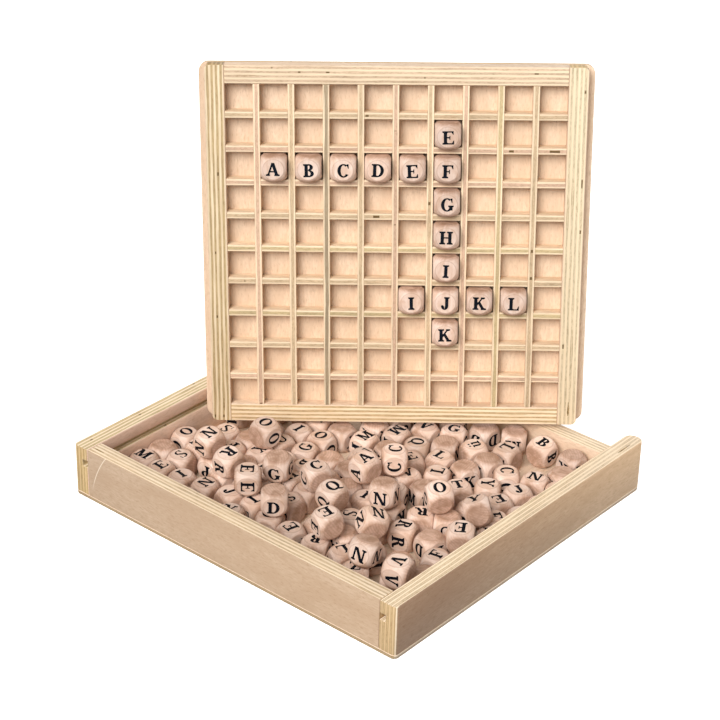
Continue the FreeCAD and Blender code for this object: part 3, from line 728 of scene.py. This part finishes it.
TOP = 1 - SLAB
GLYPHS = {
    "A": [slant(0.13, 0, 0.46, 1, THIN), slant(0.80, 0, 0.47, 1, THICK), arm(0.24, 0.68, 0.27),
          foot(0.13, 0, 1, 0.16, THIN), foot(0.80, 0, 1, 0.2)],
    "B": stem(0.24) + [bowl(0.42, 0.75, 0.32, 0.25, -90, 90), bowl(0.42, 0.27, 0.38, 0.27, -90, 90),
                       arm(0.24, 0.43, TOP), arm(0.24, 0.43, 0.48), arm(0.24, 0.43, 0)],
    "C": [bowl(0.5, 0.5, 0.45, 0.52, 48, 325), beak(0.89, 1.0, -1, 0.34)],
    "D": stem(0.24) + [bowl(0.42, 0.5, 0.5, 0.5, -90, 90), arm(0.24, 0.43, TOP), arm(0.24, 0.43, 0)],
    "E": stem(0.24) + [arm(0.24, 0.82, TOP), arm(0.24, 0.58, 0.46), arm(0.24, 0.84, 0), beak(0.84, 1, -1),
                       beak(0.87, 0, 1, 0.3), block(0.53, 0.60, 0.35, 0.66)],
    "F": stem(0.24) + [arm(0.24, 0.80, TOP), arm(0.24, 0.56, 0.45), beak(0.83, 1, -1, 0.3),
                       block(0.52, 0.59, 0.34, 0.66)],
    "G": [bowl(0.5, 0.5, 0.45, 0.52, 48, 330), beak(0.89, 1.0, -1, 0.34),
          block(0.79 - THICK / 2, 0.79 + THICK / 2, 0.08, 0.42), foot(0.79, 0.46, -1)],
    "H": stem(0.24) + stem(0.80) + [arm(0.24, 0.80, 0.46)],
    "I": stem(0.3),
    "J": [block(0.45 - THICK / 2, 0.45 + THICK / 2, 0.26, 1), foot(0.45, 1, -1),
          bowl(0.295, 0.26, 0.2675, 0.28, 180, 360), bowl(0.12, 0.26, 0.1, 0.1, 0, 350, 0.095, 0.095)],
    "K": stem(0.24) + [slant(0.30, 0.34, 0.76, 1, THIN), slant(0.83, 0, 0.46, 0.62, THICK),
                       foot(0.76, 1, -1, 0.16, THIN), foot(0.83, 0, 1, 0.2)],
    "L": stem(0.24) + [arm(0.24, 0.80, 0), beak(0.83, 0, 1, 0.34)],
    "M": stem(0.17, THIN) + stem(0.97) + [slant(0.55, 0.02, 0.21, 1, THICK),
                                          slant(0.55, 0.02, 0.90, 1, THIN)],
    "N": stem(0.17, THIN) + [block(0.85 - THIN / 2, 0.85 + THIN / 2, 0, 1), foot(0.85, 1, -1, 0.16, THIN),
                             slant(0.79, 0, 0.20, 1, 0.25)],
    "O": [bowl(0.5, 0.5, 0.47, 0.52, 0, 180), bowl(0.5, 0.5, 0.47, 0.52, 180, 360)],
    "P": stem(0.24) + [bowl(0.42, 0.73, 0.36, 0.27, -90, 90), arm(0.24, 0.43, TOP), arm(0.24, 0.43, 0.46)],
    "Q": [bowl(0.5, 0.5, 0.47, 0.52, 0, 180), bowl(0.5, 0.5, 0.47, 0.52, 180, 360),
          slant(0.88, -0.18, 0.46, 0.16, THICK)],
    "R": stem(0.24) + [bowl(0.42, 0.74, 0.34, 0.26, -90, 90), arm(0.24, 0.43, TOP), arm(0.24, 0.48, 0.48),
                       slant(0.83, 0, 0.53, 0.52, THICK), foot(0.85, 0, 1, 0.17)],
    "S": [bowl(0.45, 0.745, 0.3, 0.275, 60, 215, 0.19, 0.1),
          bowl(0.46, 0.265, 0.34, 0.285, -125, 50, 0.2, 0.1),
          slant(0.62, 0.34, 0.28, 0.68, 0.25), beak(0.76, 1.0, -1, 0.3), block(0.12, 0.185, 0, 0.32)],
    "T": stem(0.46) + [arm(0.06, 0.86, TOP), beak(0.88, 1, -1, 0.3), block(0.04, 0.11, 0.7, 1)],
    "U": [block(0.13, 0.13 + THICK, 0.3, 1), foot(0.13 + THICK / 2, 1, -1),
          bowl(0.5, 0.33, 0.37, 0.35, 180, 360, THIN, 0.12), block(0.87 - THIN, 0.87, 0.3, 1),
          foot(0.82, 1, -1, 0.16, THIN), bowl(0.5, 0.33, 0.37, 0.35, 180, 260, THICK, 0.12)],
    "V": [slant(0.49, 0, 0.21, 1, THICK), slant(0.52, 0, 0.80, 1, THIN), foot(0.21, 1, -1),
          foot(0.80, 1, -1, 0.16, THIN)],
    "W": [slant(0.39, 0, 0.16, 1, THICK), slant(0.41, 0, 0.62, 1, THIN), slant(0.84, 0, 0.61, 1, THICK),
          slant(0.86, 0, 1.08, 1, THIN), foot(0.16, 1, -1), foot(0.61, 1, -1), foot(1.08, 1, -1, 0.15, THIN)],
    "X": [slant(0.78, 0, 0.22, 1, THICK), slant(0.16, 0, 0.76, 1, THIN), foot(0.22, 1, -1), foot(0.78, 0, 1),
          foot(0.76, 1, -1, 0.15, THIN), foot(0.16, 0, 1, 0.15, THIN)],
    "Y": [slant(0.46, 0.40, 0.16, 1, THICK), slant(0.50, 0.40, 0.80, 1, THIN),
          block(0.47 - THICK / 2, 0.47 + THICK / 2, 0, 0.46), foot(0.47, 0, 1), foot(0.16, 1, -1),
          foot(0.80, 1, -1, 0.15, THIN)],
    "Z": [arm(0.10, 0.82, TOP), arm(0.06, 0.82, 0), slant(0.19, 0, 0.70, 1, THICK), beak(0.85, 0, 1, 0.3),
          block(0.08, 0.15, 0.72, 1)],
    "ae": [block(0.46, 0.65, 0.0, 0.46), bowl(0.40, 0.46, 0.25, 0.22, 0, 160, 0.19, 0.1),
           bowl(0.32, 0.17, 0.24, 0.19, 0, 180, 0.17), bowl(0.32, 0.17, 0.24, 0.19, 180, 360, 0.17),
           arm(0.56, 0.78, 0)] + dots(0.4, 0.9),
    "oe": [bowl(0.42, 0.34, 0.36, 0.36, 0, 180, 0.2),
           bowl(0.42, 0.34, 0.36, 0.36, 180, 360, 0.2)] + dots(0.42, 0.92),
    "ue": [block(0.16, 0.36, 0.2, 0.68), arm(0.06, 0.3, 0.6),
           bowl(0.42, 0.24, 0.26, 0.26, 180, 330, 0.19, 0.1),
           block(0.57, 0.77, 0, 0.68), arm(0.47, 0.7, 0.6), arm(0.6, 0.87, 0)] + dots(0.46, 0.92),
}
LETTERS = list(GLYPHS)
# The triangulation keeps what lies inside the strokes, and merges points this near, in units of
# the capital height.
INSIDE_ONLY = 1
SAME_CORNER = 1e-5


def glyph_mesh(letter):
    """The union of a letter's strokes, each turned counter-clockwise, as a thin closed plate
    centred on the origin."""
    points, faces = [], []
    for stroke in GLYPHS[letter]:
        area = sum(a[0] * b[1] - b[0] * a[1] for a, b in zip(stroke, stroke[1:] + stroke[:1]))
        faces.append(list(range(len(points), len(points) + len(stroke))))
        points += [Vector(point) for point in (stroke if area > 0 else reversed(stroke))]
    spots, _, triangles, _, _, covers = delaunay_2d_cdt(
        points, [], faces, INSIDE_ONLY, SAME_CORNER)
    middle = Vector(((min(p.x for p in points) + max(p.x for p in points)) / 2, 0.5))
    size = LETTER_HEIGHT * MM
    work = bmesh.new()
    corners = [work.verts.new((*((p - middle) * size), (INK_THICK - INK_SUNK) * MM)) for p in spots]
    for triangle, cover in zip(triangles, covers):
        if cover:
            work.faces.new([corners[i] for i in triangle])
    bmesh.ops.delete(work, geom=[v for v in work.verts if not v.link_faces], context="VERTS")
    for face in work.faces:
        face.normal_update()
        if face.normal.z < 0:
            face.normal_flip()
    grown = bmesh.ops.extrude_face_region(work, geom=work.faces[:], use_keep_orig=True)
    lowered = [part for part in grown["geom"] if isinstance(part, bmesh.types.BMVert)]
    bmesh.ops.translate(work, verts=lowered, vec=(0, 0, -INK_THICK * MM))
    bmesh.ops.recalc_face_normals(work, faces=work.faces)
    return worked_mesh(f"letter_{letter}", work)


# The turns that carry the top of a cube to each of its six sides.
SIDE_TURNS = [Quaternion(), Quaternion(X_WAY, math.pi)]
SIDE_TURNS += [Quaternion(way, turn * math.pi / 2) for way in (X_WAY, Y_WAY) for turn in (1, -1)]


def cube_mesh():
    """A cube turned to a ball: six flat discs, each with a narrow worn rim, and ball between them."""
    work = bmesh.new()
    disc = math.sqrt(CUBE_BALL ** 2 - CUBE_HALF ** 2)
    flat = disc - RIM_SPREAD
    rim_out = disc + RIM_SPREAD
    rim_drop = math.sqrt(CUBE_BALL ** 2 - rim_out ** 2)
    for turn in SIDE_TURNS:
        rings = [[], [], []]
        for step in range(RIM_STEPS):
            angle = 2 * math.pi * step / RIM_STEPS
            c, s = math.cos(angle), math.sin(angle)
            widest = max(abs(c), abs(s))
            edge = Vector((c / widest, s / widest, 1)).normalized() * CUBE_BALL
            spots = ((c * flat, s * flat, CUBE_HALF), (c * rim_out, s * rim_out, rim_drop), edge)
            for ring, spot in zip(rings, spots):
                ring.append(work.verts.new(turn @ (Vector(spot) * MM)))
        work.faces.new(rings[0])
        for inner, outer in zip(rings, rings[1:]):
            for step in range(RIM_STEPS):
                after = (step + 1) % RIM_STEPS
                work.faces.new((inner[step], outer[step], outer[after], inner[after]))
    bmesh.ops.remove_doubles(work, verts=work.verts, dist=SAME_PLACE)
    bmesh.ops.recalc_face_normals(work, faces=work.faces)
    for face in work.faces:
        face.smooth = True
        if len(face.verts) == RIM_STEPS:
            for edge in face.edges:
                edge.smooth = False
    mesh = worked_mesh("letter_cube", work)
    local = np.array([v.co for v in mesh.vertices]) / MM
    note(mesh, "cube_mm", "FLOAT_VECTOR", local, "vector")
    return mesh


def shelf(name, meshes):
    """A collection that holds one object for each mesh, in order."""
    collection = bpy.data.collections.new(name)
    for index, mesh in enumerate(meshes):
        collection.objects.link(bpy.data.objects.new(f"{name}_{index:02d}", mesh))
    return collection


def set_out_tree(name):
    """Places shapes from a collection on points that carry a turn, a pick and a tone."""
    tree = bpy.data.node_groups.new(name, "GeometryNodeTree")
    tree.interface.new_socket("Geometry", in_out="INPUT", socket_type="NodeSocketGeometry")
    tree.interface.new_socket("Shapes", in_out="INPUT", socket_type="NodeSocketCollection")
    tree.interface.new_socket("Finish", in_out="INPUT", socket_type="NodeSocketMaterial")
    tree.interface.new_socket("Geometry", in_out="OUTPUT", socket_type="NodeSocketGeometry")
    points = add(tree, "NodeGroupInput")
    given = points.node.outputs
    shapes = add(tree, "GeometryNodeCollectionInfo", {
        "Collection": given["Shapes"], "Separate Children": True, "Reset Children": True})
    turn = add(tree, "GeometryNodeInputNamedAttribute", {"Name": "turn"}, data_type="QUATERNION")
    pick = add(tree, "GeometryNodeInputNamedAttribute", {"Name": "pick"}, data_type="INT")
    placed = add(tree, "GeometryNodeInstanceOnPoints", {
        "Points": points, "Instance": shapes, "Pick Instance": True, "Instance Index": pick,
        "Rotation": turn})
    real = add(tree, "GeometryNodeRealizeInstances", {"Geometry": placed})
    finished = add(tree, "GeometryNodeSetMaterial", {"Geometry": real, "Material": given["Finish"]})
    add(tree, "NodeGroupOutput", {"Geometry": finished})
    return tree


def set_out(name, tree, shapes, finish, spots):
    """A plain mesh object with a shape at each spot: place, turn, pick and tone."""
    places, turns, picks, tones = zip(*spots)
    mesh = bpy.data.meshes.new(name)
    mesh.from_pydata(list(places), [], [])
    note(mesh, "turn", "QUATERNION", [tuple(turn) for turn in turns])
    note(mesh, "pick", "INT", picks)
    note(mesh, "tone", "FLOAT", tones)
    piece = in_scene(name, mesh)
    layout = piece.modifiers.new("set out", "NODES")
    layout.node_group = tree
    sockets = {item.name: item.identifier for item in tree.interface.items_tree if item.in_out == "INPUT"}
    layout[sockets["Shapes"]] = shapes
    layout[sockets["Finish"]] = finish
    bake_modifiers(piece)
    return piece


# Two directions are square to each other where their dot product is under this.
SQUARE = 0.1
# Digits that tell faces apart by their direction, and cubes by their place in metres.
WAY_DIGITS = 2
PLACE_DIGITS = 4


def cube_places(node):
    """Each cube's middle and three face directions, read from the node's own mesh."""
    work = bmesh.new()
    work.from_mesh(node.data)
    bmesh.ops.remove_doubles(work, verts=work.verts, dist=SAME_PLACE)
    left = set(work.faces)
    found = []
    while left:
        stack = [left.pop()]
        island = list(stack)
        while stack:
            for edge in stack.pop().edges:
                for other in edge.link_faces:
                    if other in left:
                        left.remove(other)
                        stack.append(other)
                        island.append(other)
        found.append(cube_place(island))
    work.free()
    found.sort(key=lambda cube: tuple(round(c, PLACE_DIGITS) for c in cube[0]))
    return found


def cube_place(island):
    """The widest flat areas of a cube are its six discs."""
    areas, sums = {}, {}
    for face in island:
        key = tuple(round(c, WAY_DIGITS) for c in face.normal)
        areas[key] = areas.get(key, 0.0) + face.calc_area()
        sums[key] = sums.get(key, Vector()) + face.normal * face.calc_area()
    discs = [sums[key].normalized() for key in sorted(areas, key=areas.get, reverse=True)]
    axes = []
    for way in discs:
        if all(abs(way.dot(axis)) < SQUARE for axis in axes):
            axes.append(way)
        if len(axes) == 3:
            break
    corners = {vert for face in island for vert in face.verts}
    middle = sum((vert.co for vert in corners), Vector()) / len(corners)
    reach = [[vert.co.dot(axis) for vert in corners] for axis in axes]
    middle = sum((axis * (min(values) + max(values)) / 2 for axis, values in zip(axes, reach)), Vector())
    return middle, axes


def towards(axes, way):
    """The face direction, of six, nearest to a way."""
    return max([axis * sign for axis in axes for sign in (1, -1)], key=lambda side: side.dot(way))


def frame_turn(x_way, z_way):
    """The rotation that carries local X and Z to the given directions."""
    y_way = z_way.cross(x_way)
    return Matrix((x_way, y_way, z_way)).transposed().to_quaternion()


# How far a stamp may land off the middle of its disc, sideways and along the grain in
# millimetres, and how many degrees askew.
STAMP_SIDEWAYS = 0.3
STAMP_LOW, STAMP_HIGH = -0.35, 0.25
STAMP_ASKEW = 2.5


def letter_spots(middle, axes, grain, letter, rng):
    """The same letter on the four sides, reading upright along the grain."""
    spots = []
    sides = [axis * sign for axis in axes if abs(axis.dot(grain)) < SQUARE for sign in (1, -1)]
    for side in sides:
        right = grain.cross(side)
        nudge = right * rng.uniform(-STAMP_SIDEWAYS, STAMP_SIDEWAYS)
        nudge += grain * rng.uniform(STAMP_LOW, STAMP_HIGH)
        askew = Quaternion(side, math.radians(rng.uniform(-STAMP_ASKEW, STAMP_ASKEW)))
        place = middle + (side * CUBE_HALF + nudge) * MM
        spots.append((place, askew @ frame_turn(right, side), LETTERS.index(letter), 0.0))
    return spots


def azimuth(degrees):
    return Vector((math.cos(math.radians(degrees)), math.sin(math.radians(degrees)), 0))


# Letters of the board's cubes run through the alphabet, along the rows and down the column.
BOARD_LETTERS = {(3, column): "ABCDE"[column - 2] for column in range(2, 7)}
BOARD_LETTERS.update({(row, 7): "EFGHIJK"[row - 2] for row in range(2, 9)})
BOARD_LETTERS.update({(7, 6): "I", (7, 8): "K", (7, 9): "L"})

# Loose cubes on top: letter and the way its top points, as a direction.
TOP_LOOKS = [
    ("N", azimuth(175)), ("R", azimuth(-4)), ("E", azimuth(39.8)), ("O", azimuth(-96)),
    ("G", Z_WAY), ("D", Z_WAY), ("C", azimuth(155)), ("Q", azimuth(175)),
    ("A", azimuth(174)), ("N", Z_WAY), ("O", azimuth(142)), ("B", azimuth(85)),
]
# The other loose cubes draw a letter from these, and ANY_LETTER of them from all letters alike.
LOOSE_LETTERS = "AABCDEEEFGHIIJKLMNNNOOPQRRSSTTUUVWXYZ"
ANY_LETTER = 0.3
# The ways in which such a cube's grain may point: two of three lie level.
GRAIN_WAYS = [Z_WAY, -Z_WAY] + [X_WAY, -X_WAY, Y_WAY, -Y_WAY] * 2
CUBE_SEED = 31
# The palest cubes are all in the heap: those on the board use this much of the range of tones.
BOARD_TONES = 0.7


def cube_pieces():
    wood = tumbled_beech("tumbled_beech", "#E8CFBF", "#D3B098", "#D8B5A0", "#A8836B")
    ink = stamped_ink("navy_stamped_ink")
    cube_shelf = shelf("cube_shape", [cube_mesh()])
    letter_shelf = shelf("letter_shape", [glyph_mesh(letter) for letter in LETTERS])
    tree = set_out_tree("set_out_on_points")
    rng = random.Random(CUBE_SEED)
    for name in sorted(NODES):
        if not name.startswith(("board_cube", "loose_cube", "cubes_band")):
            continue
        cube_spots, ink_spots = [], []
        for middle, axes in cube_places(NODES[name]):
            grain, letter = cube_look(name, axes, rng)
            side = next(axis for axis in axes if abs(axis.dot(grain)) < SQUARE)
            tone = rng.random() * (BOARD_TONES if name.startswith("board_cube") else 1.0)
            cube_spots.append((middle, frame_turn(grain, side), 0, tone))
            ink_spots += letter_spots(middle, axes, grain, letter, rng)
        cubes = set_out(f"{name}_wood", tree, cube_shelf, wood, cube_spots)
        letters = set_out(f"{name}_letters", tree, letter_shelf, ink, ink_spots)
        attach(cubes, BODY_OF[name])
        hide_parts(name)
        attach(letters, BODY_OF[name])
    for used in (cube_shelf, letter_shelf):
        for shape in list(used.objects):
            bpy.data.objects.remove(shape)
        bpy.data.collections.remove(used)


def cube_look(name, axes, rng):
    """Which way a cube's grain runs, and its letter."""
    if name.startswith("board_cube"):
        row, column = (int(word.strip("rowcolumn")) for word in name.split("_")[2:])
        return towards(axes, LID_UP), BOARD_LETTERS[(row, column)]
    if name.startswith("loose_cube"):
        letter, way = TOP_LOOKS[int(name.split("_")[2]) - 1]
        return towards(axes, way), letter
    way = rng.choice(GRAIN_WAYS)
    letter = rng.choice(LETTERS if rng.random() < ANY_LETTER else list(LOOSE_LETTERS))
    return towards(axes, way), letter


# The photograph's viewing angle. The lens's focal length is measured in the picture's pixels.
CAMERA_PLACE = Vector((703.6, -846.8, 695.9))
CAMERA_RIGHT = Vector((0.75997, 0.64960, 0.02177))
CAMERA_UP = Vector((-0.3272, 0.3534, 0.8764))
CAMERA_BACK = Vector((0.56159, -0.67314, 0.48114))
SENSOR = 36.0
PICTURE_PIXELS = 720
FOCAL_PIXELS = 2097
NEAREST, FARTHEST = 0.05, 20.0
# Towards the lamps, and the floor's half width in metres.
KEY_WAY = (0.19, -0.765, 0.616)
RIM_WAY = (-0.35, 0.85, 0.40)
FLOOR_REACH = 6.0


def camera():
    data = bpy.data.cameras.new("camera")
    data.sensor_width = SENSOR
    data.lens = SENSOR * (FOCAL_PIXELS / PICTURE_PIXELS)
    data.clip_start = NEAREST
    data.clip_end = FARTHEST
    view = in_scene("camera", data)
    turn = Matrix((CAMERA_RIGHT, CAMERA_UP, CAMERA_BACK)).transposed()
    view.matrix_world = Matrix.Translation(CAMERA_PLACE * MM) @ turn.to_4x4()
    bpy.context.scene.camera = view


def floor():
    """White paper, lit from below so that shadows stay faint. It lights nothing on the object."""
    corners = [(x * FLOOR_REACH, y * FLOOR_REACH, 0) for x, y in ((-1, -1), (1, -1), (1, 1), (-1, 1))]
    mesh = bpy.data.meshes.new("studio_floor")
    mesh.from_pydata(corners, [], [(0, 1, 2, 3)])
    material = fresh_material("white_paper_sweep")
    shader = add(material.node_tree, "ShaderNodeBsdfPrincipled", {
        "Base Color": linear("#FFFFFF"), "Roughness": 0.95, "Specular IOR Level": 0.0,
        "Emission Color": linear("#FFFFFF"), "Emission Strength": 0.6})
    add(material.node_tree, "ShaderNodeOutputMaterial", {"Surface": shader})
    mesh.materials.append(material)
    sweep = in_scene("studio_floor", mesh)
    sweep.visible_diffuse = False


def lamp(name, kind, place, target=(0, 0, 0), **settings):
    data = bpy.data.lights.new(name, kind)
    for setting, value in settings.items():
        setattr(data, setting, value)
    made = in_scene(name, data)
    made.location = place
    made.rotation_euler = (Vector(place) - Vector(target)).to_track_quat("Z", "Y").to_euler()
    made.visible_camera = False


def lights():
    """A wide soft key from the front, a faint one from behind, a white room, and a weak fill near
    the far right corner of the tray."""
    world = bpy.data.worlds.new("studio_world")
    bpy.context.scene.world = world
    world.use_nodes = True
    world.node_tree.nodes.clear()
    glow = add(world.node_tree, "ShaderNodeBackground", {"Color": linear("#FFFFFF"), "Strength": 0.37})
    add(world.node_tree, "ShaderNodeOutputWorld", {"Surface": glow})
    lamp("front_key", "SUN", KEY_WAY, energy=3.46, angle=math.radians(35))
    lamp("back_rim", "SUN", RIM_WAY, energy=0.95, angle=math.radians(60))
    lamp("corner_fill", "AREA", (0.55, 0.45, 0.2), (0.12, 0.1, 0.02), energy=0.9, shape="DISK", size=0.3)
    bpy.context.scene.view_settings.view_transform = "Standard"


tray_boards()
lid_boards()
splits()
cube_pieces()
camera()
floor()
lights()
